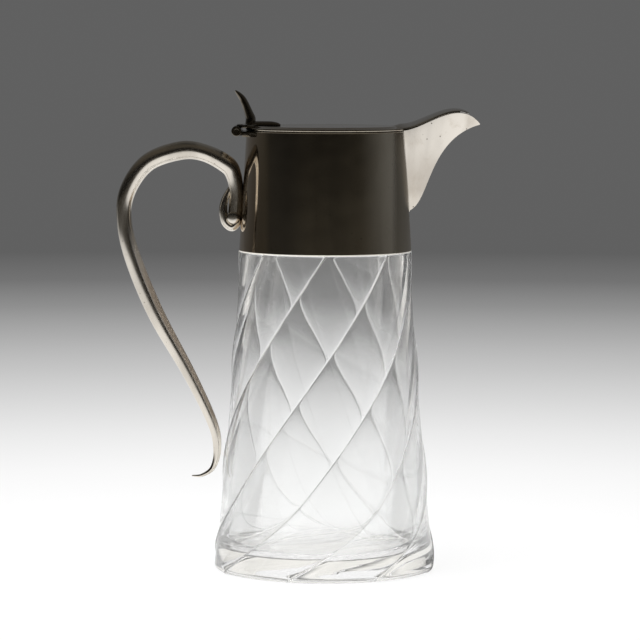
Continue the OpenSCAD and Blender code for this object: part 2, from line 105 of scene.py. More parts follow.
class JugSizes(bpy.types.PropertyGroup):
    """Sizes of the jug, the same as in the construction apart from the bow of the spout."""

    body_h: length("Body height", "Glass body up to its shoulder", 0.1724)
    shoulder_r: length("Shoulder radius", "Radius over the ridges at the shoulder", 0.0468)
    foot_r: length("Foot radius", "Radius over the ridges at the foot", 0.0605)
    side_hollow: number("Hollow of the side", "Power of the taper from shoulder to foot", 1.22)
    foot_flare: length("Foot flare", "How far the foot flares out past the taper", 0.0007)
    foot_edge: length("Foot edge", "Radius of the lower edge of the foot", 0.003)
    panels: bpy.props.IntProperty(name="Panels", description="Spiral panels round the body", default=8)
    twist: turn("Twist", "Twist of the panels for each millimetre of height", 0.78)
    foot_twist: turn("Foot twist", "Extra twist where the panels run out at the foot", 20.7)
    foot_twist_h: length("Foot twist height", "Height over which that extra twist builds up", 0.045)
    panel_hollow: number("Panel hollow", "Depth of a panel's middle, as a share of the radius", 0.010)
    ridge_step: number("Ridge step", "Extra drop beside a ridge, as a share of the radius", 0.006)
    ridge_run: number("Ridge run", "How fast that drop dies away, as a share of a panel", 0.07)
    ridge_soft: number("Ridge softness", "Width of the bead on a ridge, as a share of a panel", 0.011)
    ridge_bead: length("Ridge bead", "Height of the polished bead along a ridge", 0.00018)
    wall: length("Glass wall", "Glass thickness under a ridge", 0.006)
    base_t: length("Base", "Thickness of the solid glass base", 0.010)
    floor_corner: length("Floor corner", "Radius between the inside wall and the floor", 0.009)
    neck_h: length("Neck height", "Height of the neck inside the collar", 0.018)
    neck_wall: length("Neck wall", "Glass thickness of the neck", 0.0034)
    collar_z: length("Collar foot", "Height of the collar's lower edge", 0.1730)
    collar_h: length("Collar height", "Height of the silver collar", 0.0640)
    collar_low_r: length("Collar lower radius", "Outer radius at the collar's lower edge", 0.0466)
    collar_top_r: length("Collar upper radius", "Outer radius at the collar's top", 0.0427)
    sheet: length("Sheet", "Thickness of the collar's and the spout's sheet", 0.0010)
    wire_h: length("Mouth wire", "Height of the wire round the mouth", 0.0008)
    wire_out: length("Wire stands out", "How far the wire stands out past the collar", 0.0003)
    spout_reach: length("Spout reach", "How far the tip stands out past the mouth", 0.0406)
    spout_rise: length("Spout rise", "Height of the tip above the rim", 0.0036)
    spout_arch: length("Spout arch", "Height that the lip is drawn up to", 0.0184)
    spout_depth: length("Spout depth", "Depth of the spout down the collar", 0.0434)
    spout_half: length("Spout half width", "Half the width of the spout at the rim", 0.0094)
    seam: length("Seam", "Thickness of the solder seam round the spout's root", 0.0007)
    spout_bow: number("Spout bow", "How far the spout's walls bow out: 1 is a plain V", 1.12)
    lid_t: length("Lid thickness", "Thickness of the lid plate", 0.0012)
    lid_gap: length("Lid gap", "Gap between the closed lid and the rim", 0.0002)
    lid_r: length("Lid radius", "Radius of the lid plate", 0.0431)
    lid_raise: length("Lid raise", "Height of the raised middle above the margin", 0.0009)
    lid_margin: length("Lid margin", "Width of the flat margin", 0.0028)
    lid_slope: length("Lid slope", "Width of the slope up to the raised middle", 0.0024)
    tongue_short: length("Tongue short", "How far short of the tip the tongue ends", 0.0053)
    tongue_in: length("Tongue root", "How far the tongue's root runs in over the lid", 0.0070)
    tongue_crown: length("Tongue crown", "Crown of the tongue along its middle", 0.0024)
    tongue_over: length("Tongue overhang", "How far the tongue stands past the spout's edges", 0.0002)
    bearer_t: length("Lid bearer", "Thickness of the bearer on the lid", 0.0016)
    knuckle_d: length("Knuckle", "Diameter of the hinge knuckles", 0.0055)
    pin_d: length("Pin", "Diameter of the hinge pin", 0.0020)
    hinge_len: length("Hinge length", "Length over the five knuckles", 0.0300)
    knuckle_gap: length("Knuckle gap", "Gap between neighbouring knuckles", 0.00025)
    thumb_h: length("Thumbpiece height", "Height of the thumbpiece above the lid", 0.0200)
    thumb_foot: length("Thumbpiece foot", "Length of its foot along the lid", 0.0190)
    thumb_foot_t: length("Foot thickness", "Thickness of that foot", 0.0025)
    thumb_half: length("Thumbpiece half width", "Half its width across the lid", 0.0045)
    handle_reach: length("Handle reach", "How far the bar stands off the jug's side", 0.0630)
    handle_drop: length("Handle drop", "From the rim down to the tail", 0.1880)
    handle_d: length("Handle bar", "Diameter of the bar in the arch", 0.0100)
    handle_root: length("Handle root", "Diameter of the bar against the collar", 0.0074)
    handle_tail: length("Handle tail", "Diameter of the tail near the glass", 0.0044)
    handle_gap: length("Tail gap", "Space between the tail and the glass", 0.0016)
    handle_seat: length("Handle seat", "How deep the bar is let into the collar's curve", 0.0003)
    scroll_h: length("Scroll height", "Height of the scroll", 0.0226)
    scroll_out: length("Scroll out", "How far the scroll stands out from the collar", 0.0099)
    scroll_t: length("Scroll thickness", "Thickness of the scroll seen from the side", 0.0048)
    scroll_w: length("Scroll width", "Width of the scroll across the jug", 0.0076)
    scroll_boss: length("Scroll boss", "Diameter of the round boss that the scroll rolls round", 0.0066)


class JugFinish(bpy.types.PropertyGroup):
    """Colours and wear of the finishes."""

    silver: colour("Silver", "Clean silver plate", (0.80, 0.765, 0.705))
    tarnish: colour("Tarnish", "Where the plate has dulled", (0.46, 0.40, 0.32))
    dullness: number("Dullness", "Share of the plate that tarnish reaches", 0.30)
    polish: number("Polish", "Roughness of well polished plate", 0.035)
    pits: number("Pits", "Strength of the small dark pits", 0.75)
    glass: colour("Glass", "Tint of the glass", (1.0, 1.0, 1.0))
    cement: colour("Cement", "Set plaster in the joint", (0.36, 0.33, 0.27))


class StageLook(bpy.types.PropertyGroup):
    """Floor, background and light."""

    # The floor's painted pool of light runs from the near colour out to the backdrop's colour
    near_floor: colour("Floor", "Floor round the jug", (1.0, 1.0, 1.0))
    backdrop: colour("Backdrop", "Far floor and background", (0.118, 0.118, 0.118))
    room: colour("Room", "Dim room in front, as the silver mirrors it", (0.040, 0.036, 0.029))
    upper_room: colour("Upper room", "The same room above eye level", (0.008, 0.0072, 0.006))
    ceiling: colour("Ceiling", "Faint warm light overhead", (0.060, 0.052, 0.040))
    paper: colour("White paper", "Bright paper overhead and beside, seen in the glass", (1.0, 0.98, 0.93))
    glow: number("Floor glow", "Share of the floor's colour that needs no light", 0.80)
    key: power("Main light", "Power of the soft overhead light", 26.0)
    fill: power("Fill light", "Power of the soft side light", 8.0)


def sizes():
    """The jug's sizes in millimetres (angles in degrees), with the heights worked out from them."""
    group = bpy.context.scene.jug_sizes
    v = SimpleNamespace()
    for name in JugSizes.__annotations__:
        value = getattr(group, name)
        if name in ("twist", "foot_twist"):
            value = math.degrees(value)
        elif name not in PLAIN_NUMBERS:
            value = value / MM
        setattr(v, name, value)
    v.collar_top = v.collar_z + v.collar_h
    v.rim_top = RIM_TOP / MM
    v.lid_z = LID_UNDERSIDE / MM
    v.lid_top = v.lid_z + v.lid_t
    v.hinge_x, v.hinge_z = HINGE[0] / MM, HINGE[2] / MM
    return v


# Shapes shared by the pieces

def collar_r(v, z):
    """Outer radius of the collar at a height: a straight taper."""
    return v.collar_low_r + (v.collar_top_r - v.collar_low_r) * (z - v.collar_z) / v.collar_h


def taper_r(v, z):
    """Radius of the glass over its ridges: foot and shoulder joined by a power of the depth."""
    down = np.maximum(0, v.body_h - z) / v.body_h
    return v.shoulder_r + (v.foot_r - v.shoulder_r) * down ** v.side_hollow


def side_r(v, z):
    """Side of the jug that the handle follows: collar above, glass below."""
    return collar_r(v, z) if z >= v.collar_z else float(taper_r(v, z))


def bezier(points, u):
    """Cubic Bezier curve: the points weighted by the Bernstein polynomials of u."""
    p = np.asarray(points, float)
    u = np.asarray(u, float)[..., None]
    return ((1 - u) ** 3 * p[0] + 3 * (1 - u) ** 2 * u * p[1]
            + 3 * (1 - u) * u ** 2 * p[2] + u ** 3 * p[3])


def through(stations, steps):
    """Catmull-Rom curve: each span is the usual cubic through four neighbouring stations."""
    s = np.asarray(stations, float)
    padded = np.vstack([s[:1], s, s[-1:]])
    t = (np.arange(steps) / steps)[:, None]
    spans = []
    for i in range(len(s) - 1):
        p, q, r, e = padded[i:i + 4]
        spans.append(0.5 * (2 * q + (r - p) * t + (2 * p - 5 * q + 4 * r - e) * t ** 2
                            + (3 * q - p - 3 * r + e) * t ** 3))
    return np.vstack(spans + [s[-1:]])


def ring_faces(rows, cols, wrap_rows=False):
    """Quads between neighbouring rings of a grid whose columns close round."""
    j = np.arange(rows if wrap_rows else rows - 1)[:, None]
    i = np.arange(cols)[None, :]
    k, m = (j + 1) % rows, (i + 1) % cols
    return np.stack([j * cols + i, j * cols + m, k * cols + m, k * cols + i], axis=-1).reshape(-1, 4)


def outward(points, faces):
    """Turns the faces round if the volume they enclose, by the divergence theorem, is negative."""
    volume = 0.0
    for face in faces:
        face = np.asarray(face)
        a, b, c = points[face[:, 0]], points[face[:, 1]], points[face[:, 2]]
        volume += np.einsum("ij,ij->", a, np.cross(b, c))
        if face.shape[1] == 4:
            volume += np.einsum("ij,ij->", a, np.cross(c, points[face[:, 3]]))
    return [np.asarray(face)[:, ::-1] for face in faces] if volume < 0 else faces


def tube(rings, wrap_rows=False):
    """A closed skin over rings [rows, columns, 3]; its ends are fans to the rings' middles."""
    rows, cols = rings.shape[:2]
    points = rings.reshape(-1, 3)
    faces = [ring_faces(rows, cols, wrap_rows)]
    if not wrap_rows:
        points = np.vstack([points, rings[0].mean(axis=0), rings[-1].mean(axis=0)])
        i = np.arange(cols)
        first, last = np.full(cols, rows * cols), np.full(cols, rows * cols + 1)
        faces.append(np.stack([(i + 1) % cols, i, first], axis=-1))
        top = (rows - 1) * cols
        faces.append(np.stack([top + i, top + (i + 1) % cols, last], axis=-1))
    return points, outward(points, faces)


def direction(path):
    """Unit direction of a path at each of its points: its gradient, scaled to length 1."""
    way = np.gradient(path, axis=0)
    return way / np.linalg.norm(way, axis=1)[:, None]


def cord(path, radius, sides=10):
    """A thin round cord along a path; its rings are square to the path."""
    way = direction(path)
    first = np.cross(way, [1.0, 0, 0])
    first /= np.linalg.norm(first, axis=1)[:, None]
    second = np.cross(way, first)
    a = np.linspace(0, 2 * math.pi, sides, endpoint=False)[None, :, None]
    return tube(path[:, None, :] + radius * (first[:, None, :] * np.cos(a) + second[:, None, :] * np.sin(a)))


def shell(outer, inner):
    """A sheet between two grids of the same size, closed along its four edges."""
    rows, cols = outer.shape[:2]
    points = np.vstack([outer.reshape(-1, 3), inner.reshape(-1, 3)])
    n = rows * cols
    j, i = np.arange(rows - 1)[:, None], np.arange(cols - 1)[None, :]
    a = j * cols + i
    skin = np.stack([a, a + 1, a + cols + 1, a + cols], axis=-1).reshape(-1, 4)
    border = np.concatenate([np.arange(cols), np.arange(1, rows) * cols + cols - 1,
                             (rows - 1) * cols + np.arange(cols - 2, -1, -1),
                             np.arange(rows - 2, 0, -1) * cols])
    after = np.roll(border, -1)
    edge = np.stack([after, border, border + n, after + n], axis=-1)
    return points, outward(points, [skin, skin[:, ::-1] + n, edge])


def joined(*parts):
    """Several closed skins as one set of points and faces."""
    points, faces, start = [], [], 0
    for p, fs in parts:
        points.append(p)
        faces += [np.asarray(f) + start for f in fs]
        start += len(p)
    return np.vstack(points), faces


def revolved(profile, columns=192, axis="Z", centre=(0.0, 0.0)):
    """A closed section [radius, along] carried once round an axis."""
    a = np.linspace(0, 2 * math.pi, columns, endpoint=False)[None, :]
    r, h = profile[:, 0][:, None], profile[:, 1][:, None]
    if axis == "Z":
        rings = np.stack([r * np.cos(a), r * np.sin(a), h + 0 * a], axis=-1)
    else:
        rings = np.stack([centre[0] + r * np.cos(a), h + 0 * a, centre[1] + r * np.sin(a)], axis=-1)
    return tube(rings, wrap_rows=True)


def rounded(corners, radius, steps=5):
    """A closed outline, each corner a quadratic curve of a given reach between two holding points.

    The holding points keep the long flat sides flat when they are shaded smooth. Each corner gives
    steps + 2 points.
    """
    def towards(corner, end, reach):
        share = min(radius * reach[0] / np.linalg.norm(end - corner), reach[1])
        return corner + (end - corner) * share

    c = np.asarray(corners, float)
    t = np.linspace(0, 1, steps)[:, None]
    out = []
    for p, q, r in zip(np.roll(c, 1, axis=0), c, np.roll(c, -1, axis=0)):
        start, end = towards(q, p, CURVE_REACH), towards(q, r, CURVE_REACH)
        curve = (1 - t) ** 2 * start + 2 * t * (1 - t) * q + t ** 2 * end
        out += [towards(q, p, HOLD_REACH), curve, towards(q, r, HOLD_REACH)]
    return np.vstack(out)


def ellipses(path, way, sides):
    """Rings in the plane of the handle: ellipses square to the path.

    The path's rows are [x, z, half thickness, half width].
    """
    a = np.linspace(0, 2 * math.pi, sides, endpoint=False)[None, :]
    u, w = path[:, 2:3] * np.cos(a), path[:, 3:4] * np.sin(a)
    return np.stack([path[:, 0:1] - way[:, 1:2] * u, w, path[:, 1:2] + way[:, 0:1] * u], axis=-1)


def bar(stations, steps, sides):
    """A bar of ellipses through stations [x, z, half thickness, half width], with domed ends.

    A dome's rings shrink by the cosine of an angle and stand out by its sine times the bar's size.
    """
    path = through(stations, steps)
    way = direction(path[:, :2])
    dome = np.linspace(0, 0.5 * math.pi, 7)[1:-1][:, None]
    ends = []
    for at, out in ((path[0], -way[0]), (path[-1], way[-1])):
        size = min(at[2], at[3])
        ends.append(np.hstack([at[:2] + out * size * np.sin(dome), at[2:] * np.cos(dome)]))
    path = np.vstack([ends[0][::-1], path, ends[1]])
    rows = len(dome)
    way = np.vstack([np.repeat(way[:1], rows, axis=0), way, np.repeat(way[-1:], rows, axis=0)])
    return tube(ellipses(path, way, sides))


def mesh_of(name, skin):
    """A mesh in metres from a skin in millimetres."""
    points, faces = skin
    mesh = bpy.data.meshes.new(name)
    mesh.from_pydata((points * MM).tolist(), [], [f for part in faces for f in part.tolist()])
    return mesh


def put_in_scene(name, data):
    """An object of that mesh, lamp or camera, linked to the scene."""
    made = bpy.data.objects.new(name, data)
    bpy.context.scene.collection.objects.link(made)
    return made


def shade(mesh, sharp):
    """Shades a mesh smooth, apart from edges sharper than an angle in degrees."""
    mesh.shade_smooth()
    mesh.set_sharp_from_angle(angle=math.radians(sharp))


def make_real(piece, sharp):
    """Puts what the modifiers make into the piece's own mesh."""
    evaluated = piece.evaluated_get(bpy.context.evaluated_depsgraph_get())
    done = bpy.data.meshes.new_from_object(evaluated)
    piece.modifiers.clear()
    piece.data = done
    shade(done, sharp)


def add_piece(name, skin, body, material, replaces=(), sharp=40.0):
    """Makes a piece from its skin, and says what it rides on and stands for."""
    mesh = mesh_of(name, skin)
    mesh.validate()
    shade(mesh, sharp)
    return settle(put_in_scene(name, mesh), body, material, replaces)


def settle(piece, body, material, replaces=()):
    """Gives a finished piece its material, body and slot."""
    piece.data.materials.clear()
    piece.data.materials.append(material)
    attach(piece, body)
    if replaces:
        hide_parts(*replaces)
    return piece


# Shader maths

class Value:
    """A socket that Python's operators work on: an expression adds the Math nodes it needs."""

    def __init__(self, tree, socket):
        self.tree, self.socket = tree, socket

    def maths(self, operation, *others, clamp=False):
        return node(self.tree, "ShaderNodeMath", [self, *others], operation=operation, use_clamp=clamp)

    def __add__(self, other):
        return self.maths("ADD", other)

    def __sub__(self, other):
        return self.maths("SUBTRACT", other)

    def __mul__(self, other):
        return self.maths("MULTIPLY", other)

    def __truediv__(self, other):
        return self.maths("DIVIDE", other)

    def __rsub__(self, other):
        return node(self.tree, "ShaderNodeMath", [other, self], operation="SUBTRACT")

    __radd__, __rmul__ = __add__, __mul__

    def clamped(self):
        return self.maths("ADD", 0.0, clamp=True)

    def between(self, low, high):
        """0 below low, 1 above high, and a smooth step between them."""
        return node(self.tree, "ShaderNodeMapRange", {"Value": self, "From Min": low, "From Max": high},
                    interpolation_type="SMOOTHSTEP")


def node(tree, kind, inputs=(), output=0, stops=None, **settings):
    """Adds a node: first its settings, then the values or links of its sockets."""
    made = tree.nodes.new(kind)
    for name, value in settings.items():
        setattr(made, name, value)
    if stops:
        ramp = made.color_ramp
        while len(ramp.elements) < len(stops):
            ramp.elements.new(1.0)
        for element, (place, rgb) in zip(ramp.elements, stops):
            element.position, element.color = place, (*rgb, 1.0)
    pairs = inputs.items() if isinstance(inputs, dict) else enumerate(inputs)
    for key, value in pairs:
        socket = made.inputs[key]
        if isinstance(value, Value):
            tree.links.new(value.socket, socket)
        elif value is not None:
            socket.default_value = value
    return Value(tree, made.outputs[output])


def mix_colour(tree, share, first, second):
    """Colour between two colours."""
    def rgba(c):
        return c if isinstance(c, Value) else (*c, 1.0)
    made = tree.nodes.new("ShaderNodeMix")
    made.data_type = "RGBA"
    for index, value in ((0, share), (6, rgba(first)), (7, rgba(second))):
        if isinstance(value, Value):
            tree.links.new(value.socket, made.inputs[index])
        else:
            made.inputs[index].default_value = value
    return Value(tree, made.outputs[2])


def ray_kinds(tree):
    """1 for rays from the camera, for mirror-like rays, and for rays through glass."""
    return [node(tree, "ShaderNodeLightPath", output=name)
            for name in ("Is Camera Ray", "Is Glossy Ray", "Is Transmission Ray")]


def new_material(name):
    """An empty material; returns it, its node tree and its output node."""
    material = bpy.data.materials.new(name)
    material.use_nodes = True
    tree = material.node_tree
    tree.nodes.clear()
    return material, tree, tree.nodes.new("ShaderNodeOutputMaterial")


def place_axis(tree, axis):
    """One axis of the Object coordinates: 0 towards the spout, 2 up."""
    place = node(tree, "ShaderNodeTexCoord", output=3)
    return node(tree, "ShaderNodeSeparateXYZ", [place], output=axis)


def pattern(tree, scale, stretch=(1, 1, 1), detail=3.0, kind="ShaderNodeTexNoise", output=0, **inputs):
    """A noise or cell pattern on Object coordinates, with its features stretched along the axes."""
    place = node(tree, "ShaderNodeTexCoord", output=3)
    scaled = node(tree, "ShaderNodeMapping", {"Vector": place, "Scale": stretch})
    values = {"Vector": scaled, "Scale": scale, **inputs}
    if kind == "ShaderNodeTexNoise":
        values["Detail"] = detail
    return node(tree, kind, values, output=output)


def collar_painted_shade(tree, base, gloss):
    """Painted shade on the collar: a grey band and a brown edge on the handle's side, and a dark corner
    beside the spout.
    """
    side = place_axis(tree, 0)
    behind = 0 - side
    beside = side.between(0.0350, 0.0385)
    # Painted shade: a grey band down the handle's side of the collar
    painted_band = behind.between(0.006, 0.022) - behind.between(0.029, 0.033)
    base = mix_colour(tree, painted_band * 0.7, base, (0.26, 0.255, 0.25))
    # Painted shade: a brown edge beside the handle
    base = mix_colour(tree, behind.between(0.026, 0.040) * 0.8, base, (0.42, 0.33, 0.24))
    # Painted shade: a dark corner beside the spout
    base = mix_colour(tree, beside * 0.85, base, (0.13, 0.11, 0.08))
    return base, gloss + beside * 0.35, 1.0


def lid_unshaded_tongue(tree, base, gloss):
    """The lid's tongue is paler than its plate, whose darker tone is painted shade."""
    return mix_colour(tree, place_axis(tree, 0).between(0.036, 0.046), base, (0.86, 0.83, 0.79)), gloss, 1.0


def spout_stains(tree, base, gloss):
    """A tan cloud low on the spout's side."""
    height = place_axis(tree, 2)
    tan = height.between(0.200, 0.206) * (1 - height.between(0.212, 0.232))
    return mix_colour(tree, tan * 0.55, base, (0.50, 0.45, 0.39)), gloss, 1.0


def handle_painted_shade(tree, base, gloss):
    """Painted shade: a dull brown strip along the inside of the handle's lower sweep, the side that faces
    the jug.
    """
    height = place_axis(tree, 2)
    inside = node(tree, "ShaderNodeAttribute", output="Fac", attribute_name="inside")
    low = height.between(0.068, 0.085) * (1 - height.between(0.150, 0.190))
    # Painted shade on the side that faces into the handle's loop
    brown = inside.between(0.25, 0.55) * low
    return mix_colour(tree, brown, base, (0.27, 0.22, 0.17)), gloss + brown * 0.20, 1 - brown * 0.85


def silver_material(name, along, wear, rough, tone, stains_and_shade):
    """Polished silver plate: clouds of tarnish, hairline scratches, sparse dark pits, soft waviness.

    The scratches run along the axis where along is smallest. Wear multiplies tarnish and pits, and
    the tone multiplies the colours; on the lid and the mouth wire the lowered tone is painted shade.
    The last argument is what a piece's own stains and painted shade add: a function of the colour
    and the roughness so far, which returns both and how metallic the plate still is.
    """
    look = bpy.context.scene.jug_finish
    material, tree, out = new_material(name)
    clean = tuple(a * b for a, b in zip(look.silver, tone))
    tarnished = tuple(a * b for a, b in zip(look.tarnish, tone))
    clouds = pattern(tree, 42.0, stretch=(1.3, 1.3, 0.45), detail=5.0, Roughness=0.6)
    spots = pattern(tree, 140.0, detail=4.0, Roughness=0.7)
    hair = pattern(tree, 2600.0, stretch=along, detail=2.0)
    cells = pattern(tree, 420.0, kind="ShaderNodeTexVoronoi", Randomness=1.0)
    picked = node(tree, "ShaderNodeSeparateColor",
                  [pattern(tree, 420.0, kind="ShaderNodeTexVoronoi", output=1, Randomness=1.0)])
    streaks = pattern(tree, 75.0, stretch=(1, 1, 0.10), detail=2.0)
    dull = (clouds.between(0.42, 0.66) * 0.7 + spots.between(0.55, 0.75) * 0.4).clamped()
    pit = (1 - cells.between(0.06, 0.20)) * picked.between(0.80, 1.0)
    base = mix_colour(tree, dull * look.dullness * wear, clean, tarnished)
    base = mix_colour(tree, streaks.between(0.44, 0.66) * 0.3, base, tuple(a * 0.62 for a in clean))
    base = mix_colour(tree, (pit * look.pits * wear).clamped(), base, (0.10, 0.085, 0.07))
    gloss = look.polish + rough + dull * 0.06 * wear + hair.between(0.60, 0.80) * 0.05
    metal = 1.0
    if stains_and_shade:
        base, gloss, metal = stains_and_shade(tree, base, gloss)
    relief = pattern(tree, 55.0, detail=1.0) + hair * 0.012 - pit * 0.25
    bump = node(tree, "ShaderNodeBump", {"Strength": 0.35, "Distance": 0.0002, "Height": relief})
    shader = node(tree, "ShaderNodeBsdfPrincipled", {
        "Base Color": base, "Metallic": metal, "Roughness": gloss.clamped(), "Normal": bump})
    tree.links.new(shader.socket, out.inputs["Surface"])
    return material


def glass_material():
    """Clear heavy glass with faint smears and the slight waviness of hand-polished cutting.

    A share of it is seen straight through: most above the thick base, less up the body, and more
    for light on its way to the floor.
    """
    look = bpy.context.scene.jug_finish
    material, tree, out = new_material("clear_glass")
    smear = pattern(tree, 60.0, stretch=(1, 1, 0.4), detail=3.0).between(0.58, 0.80)
    wave = pattern(tree, 75.0, stretch=(1, 1, 0.5), detail=1.0)
    bump = node(tree, "ShaderNodeBump", {"Strength": 0.25, "Distance": 0.0003, "Height": wave})
    shader = node(tree, "ShaderNodeBsdfPrincipled", {
        "Base Color": (*look.glass, 1.0), "Transmission Weight": 1.0, "IOR": 1.51,
        "Roughness": smear * 0.03, "Normal": bump})
    clear = node(tree, "ShaderNodeBsdfTransparent", {"Color": (0.975, 0.98, 0.975, 1.0)})
    shadow = node(tree, "ShaderNodeLightPath", output="Is Shadow Ray")
    height = place_axis(tree, 2)
    above_base = height.between(0.010, 0.022) * 0.24 - height.between(0.03, 0.11) * 0.20
    straight = 0.08 + above_base + shadow * 0.55
    both = node(tree, "ShaderNodeMixShader", [straight, shader, clear])
    tree.links.new(both.socket, out.inputs["Surface"])
    return material


def cement_material():
    """Set plaster: buff, grainy and matt, with darker specks."""
    look = bpy.context.scene.jug_finish
    material, tree, out = new_material("cement")
    grain = pattern(tree, 900.0, detail=6.0, Roughness=0.7)
    base = mix_colour(tree, grain.between(0.40, 0.75), look.cement, (0.20, 0.17, 0.13))
    bump = node(tree, "ShaderNodeBump", {"Strength": 0.6, "Distance": 0.0002, "Height": grain})
    shader = node(tree, "ShaderNodeBsdfPrincipled", {
        "Base Color": base, "Roughness": 0.8 + grain * 0.15, "Normal": bump})
    tree.links.new(shader.socket, out.inputs["Surface"])
    return material


# Each silver finish: along, wear, added roughness, tone, and the stains and painted shade it adds
SILVERS = {
    "silver_plate": ((1, 1, 0.06), 1.0, 0.0, (1, 1, 1), None),
    "silver_spout": ((1, 1, 0.06), 2.2, 0.03, (1.0, 0.98, 0.96), spout_stains),
    "silver_collar": ((1, 1, 0.05), 1.0, 0.0, (1.0, 0.96, 0.87), collar_painted_shade),
    "silver_handle": ((0.3, 1, 0.08), 1.2, 0.15, (0.93, 0.91, 0.88), handle_painted_shade),
    # Painted shade: the lid's lower tone, which dims its edge highlight
    "silver_lid": ((0.3, 0.06, 1), 1.0, 0.05, (0.72, 0.68, 0.62), lid_unshaded_tongue),
    # Painted shade: the mouth wire's very low tone, under the lid's edge
    "silver_dull": ((1, 1, 1), 1.0, 0.10, (0.17, 0.15, 0.12), None),
    "silver_dark": ((1, 1, 1), 1.0, 0.10, (0.22, 0.20, 0.17), None),
}


def finish(name):
    """The material of that name, made the first time it is asked for."""
    if name in bpy.data.materials:
        return bpy.data.materials[name]
    if name in SILVERS:
        return silver_material(name, *SILVERS[name])
    return {"clear_glass": glass_material, "cement": cement_material}[name]()


# Pieces

class JUG_OT_glass_body(bpy.types.Operator):
    """Glass body: spiral panels outside, round inside, with a thick base and a neck"""

    bl_idname = "jug.glass_body"
    bl_label = "Glass body"

    def execute(self, context):
        v = sizes()
        cement = 0.8
        # Places across half a panel, as shares of a panel: close together beside the ridge
        half = np.array([0, 0.002, 0.004, 0.006, 0.0085, 0.0115, 0.016, 0.023, 0.035, 0.055,
                         0.085, 0.125, 0.17, 0.22, 0.28, 0.34, 0.40, 0.45])
        part = np.concatenate([half, [0.5], 1 - half[:0:-1]])
        off = np.minimum(part, 1 - part)
        bead = v.ridge_bead / v.shoulder_r * np.exp(-(off / v.ridge_soft) ** 2)
        step = v.ridge_step * (1 - np.exp(-off / v.ridge_run))
        hollow = np.tile(1 - v.panel_hollow * 4 * off * (1 - off) - step + bead - bead.max(), v.panels)
        angle = np.concatenate([(i + part) * 360.0 / v.panels for i in range(v.panels)])

        def ridge_turn(z):
            """Twist rate times depth below the shoulder, and a square run-out near the foot."""
            low = np.maximum(0, v.foot_twist_h - z) / v.foot_twist_h
            return v.twist * np.maximum(0, v.body_h - z) + v.foot_twist * low ** 2

        def rings(r, z, cut, turned):
            """Rings of radius r at height z; cut is 1 where the panels show and 0 where it is round."""
            r, z, cut, turned = (x[:, None] for x in np.broadcast_arrays(r, z, cut, turned))
            a = np.radians(angle[None, :] - turned)
            radius = r * (1 - cut * (1 - hollow[None, :]))
            return np.stack([radius * np.sin(a), -radius * np.cos(a), z + 0 * a], axis=-1)

        def ridge_r(z):
            """The taper, and at the foot a flare that dies away by exp(-(z / 9 mm) squared)."""
            return taper_r(v, z) + v.foot_flare * np.exp(-(z / 9.0) ** 2)

        # The outside, from the middle of the base round the foot's edge and up to a soft shoulder
        edge, soft = v.foot_edge, 0.35
        a = np.linspace(0, 0.5 * math.pi, 10)
        foot_z, foot_in = edge * (1 - np.cos(a)), edge * (1 - np.sin(a))
        side_z = np.linspace(edge, v.body_h - soft, 150)[1:]
        top = np.linspace(0, 0.5 * math.pi, 5)[1:]
        top_z = v.body_h - soft + soft * np.sin(top)
        base_r = (ridge_r(0.0) - edge) * np.array([0.25, 0.6, 0.9, 0.985])
        neck_low = collar_r(v, v.body_h) - v.sheet - cement
        neck_top = v.body_h + v.neck_h
        neck_up = collar_r(v, neck_top) - v.sheet - cement
        outer = np.concatenate([
            rings(base_r, 0.0, 1.0, ridge_turn(0.0)),
            rings(ridge_r(foot_z) - foot_in, foot_z, 1.0, ridge_turn(foot_z)),
            rings(ridge_r(side_z), side_z, 1.0, ridge_turn(side_z)),
            rings(ridge_r(top_z) - soft * (1 - np.cos(top)), top_z, 1.0, 0.0),
        ])
        corner_z = v.base_t + v.floor_corner
        corner_r = float(taper_r(v, corner_z)) - v.wall
        bore = neck_up - v.neck_wall
        b = np.linspace(0, 0.5 * math.pi, 16)
        # Round the neck, whose outline is rounded at its top only, down the bore and over the floor
        profile = np.vstack([
            [[neck_low + 0.1, v.body_h], [neck_low, v.body_h + 0.1]],
            rounded([[neck_up, neck_top], [bore, neck_top], [bore, v.body_h], [neck_low, v.body_h]],
                    0.8)[:14],
            np.linspace([float(taper_r(v, v.body_h)) - v.wall, v.body_h], [corner_r, corner_z], 60),
            np.stack([corner_r - v.floor_corner * (1 - np.cos(b)),
                      corner_z - v.floor_corner * np.sin(b)], axis=-1)[1:],
            [[(corner_r - v.floor_corner) * s, v.base_t] for s in (0.97, 0.8, 0.5, 0.2)],
        ])
        inner = rings(profile[:, 0], profile[:, 1], 0.0, 0.0)
        skin = tube(np.concatenate([outer, inner]))
        add_piece("glass_body_cut", skin, "jug", finish("clear_glass"), ["glass_body"], 50)
        return {"FINISHED"}


def beak_curves(v):
    """Top edge and keel of the spout in the plane y = 0, as Bezier points."""
    root = math.sqrt(v.collar_top_r ** 2 - v.spout_half ** 2)
    tip = v.collar_top_r + v.spout_reach
    run, low = tip - root, v.rim_top - v.spout_depth
    lip = [[root, v.rim_top], [root + 0.3 * run, v.rim_top + 0.05 * v.spout_arch],
           [root + 0.72 * run, v.rim_top + v.spout_arch], [tip, v.rim_top + v.spout_rise]]
    start = collar_r(v, low)
    keel = [[start, low], [start + 0.28 * run, low + 0.11 * v.spout_depth],
            [tip - 0.68 * run, v.rim_top + v.spout_rise - 0.19 * v.spout_depth],
            [tip, v.rim_top + v.spout_rise - 0.4]]
    return np.array(lip), np.array(keel), root


def beak_half(v, u):
    """Half width of the spout: it narrows by a power of the way, to half a millimetre at the tip."""
    u = np.maximum(u, 0)
    return v.spout_half * (1 - u ** 1.8) ** 0.75 + 0.5 * u


